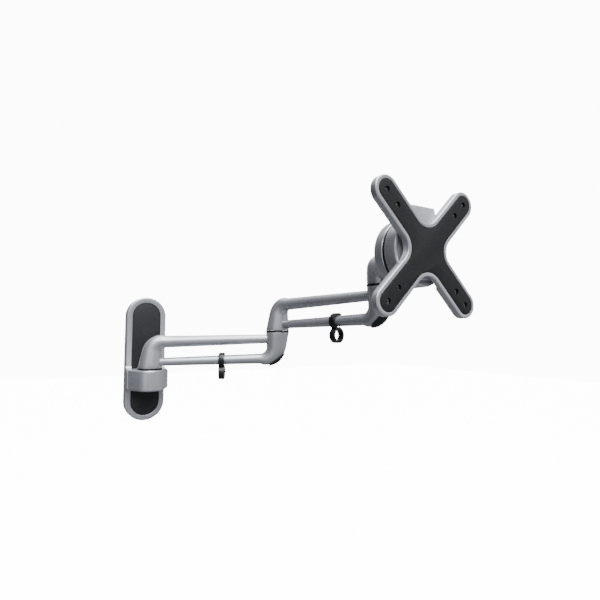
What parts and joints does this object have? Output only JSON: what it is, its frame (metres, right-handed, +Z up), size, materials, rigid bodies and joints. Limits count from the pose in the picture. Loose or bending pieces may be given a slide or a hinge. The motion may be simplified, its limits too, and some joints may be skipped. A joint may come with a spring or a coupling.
{
  "type": "full motion tv wall mount",
  "caption": "Full motion wall mount for a flat screen: a narrow wall bracket, folding arms with cable clips, and a head that pans, tilts and turns, carrying a cross-shaped VESA screen plate.",
  "frame": {"origin": "centre of the bracket's height and width, on its back face, which lies on the wall", "axes": "+Z up; +Y into the wall, so -Y points out into the room; +X to the right of someone who faces the wall"},
  "size_m": [0.273, 0.3482, 0.2598],
  "materials": {
    "silver_casting": "die cast and silver powder coated, satin",
    "black_cover": "moulded ABS with a fine spark-eroded texture",
    "black_clip": "moulded nylon, satin",
    "friction_disc": "black acetal friction disc, smooth",
    "screen_pad": "fine-grained elastomer pad",
    "nylon_bush": "natural nylon",
    "steel_fastener": "zinc plated steel",
    "disc_spring": "hardened spring steel"
  },
  "bodies": {
    "bracket": {"wall_bracket": "silver_casting", "wall_cover_upper": "black_cover", "wall_cover_lower": "black_cover", "collar_plug": "black_cover", "wall_pivot_bush": "nylon_bush", "wall_pivot_friction_washer": "friction_disc"},
    "inner_arm": {"inner_arm_upper_casting": "silver_casting", "inner_arm_lower_casting": "silver_casting", "inner_arm_corner_cap": "black_cover", "inner_arm_near_set_screw": "steel_fastener", "inner_arm_far_set_screw": "steel_fastener", "inner_arm_cable_clip": "black_clip", "wall_pivot_pin": "steel_fastener", "wall_pivot_disc_springs": "disc_spring", "elbow_pivot_bush": "nylon_bush", "elbow_pivot_friction_washer": "friction_disc"},
    "outer_arm": {"outer_arm_upper_casting": "silver_casting", "outer_arm_lower_casting": "silver_casting", "outer_arm_corner_cap": "black_cover", "outer_arm_near_set_screw": "steel_fastener", "outer_arm_far_set_screw": "steel_fastener", "outer_arm_cable_clip": "black_clip", "elbow_pivot_pin": "steel_fastener", "elbow_pivot_disc_springs": "disc_spring", "head_pivot_bush": "nylon_bush", "head_pivot_friction_washer": "friction_disc"},
    "head_swivel": {"head_neck": "silver_casting", "head_pivot_pin": "steel_fastener", "head_pivot_disc_springs": "disc_spring", "tilt_pin": "steel_fastener", "tilt_spring_washer": "disc_spring", "tilt_nut": "steel_fastener", "tilt_cap_left": "silver_casting", "tilt_cap_right": "silver_casting"},
    "head_tilt": {"head_housing": "silver_casting", "rotation_friction_ring": "friction_disc", "rotation_bolt": "steel_fastener", "rotation_spring_washer": "disc_spring"},
    "screen_carrier": {"screen_rotator": "silver_casting", "rotation_bush": "nylon_bush", "screen_plate": "silver_casting", "screen_pad": "screen_pad", "plate_screw_1": "steel_fastener", "plate_screw_2": "steel_fastener", "plate_screw_3": "steel_fastener", "plate_screw_4": "steel_fastener"}
  },
  "joints": [
    {"name": "wall_swivel", "type": "hinge", "parent": "bracket", "child": "inner_arm", "pos_m": [0, -0.0403, 0], "axis": [0, 0, -1], "range_deg": [-29, 151]},
    {"name": "elbow_swivel", "type": "hinge", "parent": "inner_arm", "child": "outer_arm", "pos_m": [0.14466, -0.12049, 0.04], "axis": [0, 0, 1], "range_deg": [-107.5, 202.5]},
    {"name": "head_swivel", "type": "hinge", "parent": "outer_arm", "child": "head_swivel", "pos_m": [0.18327, -0.28132, 0.09], "axis": [0, 0, -1], "range_deg": [-113.5, 86.5]},
    {"name": "head_tilt", "type": "hinge", "parent": "head_swivel", "child": "head_tilt", "pos_m": [0.18327, -0.28132, 0.104], "axis": [1, 0, 0], "range_deg": [-12, 12]},
    {"name": "plate_rotate", "type": "hinge", "parent": "head_tilt", "child": "screen_carrier", "pos_m": [0.18327, -0.28132, 0.1138], "axis": [0, -1, 0], "range_deg": [-90, 90]}
  ]
}
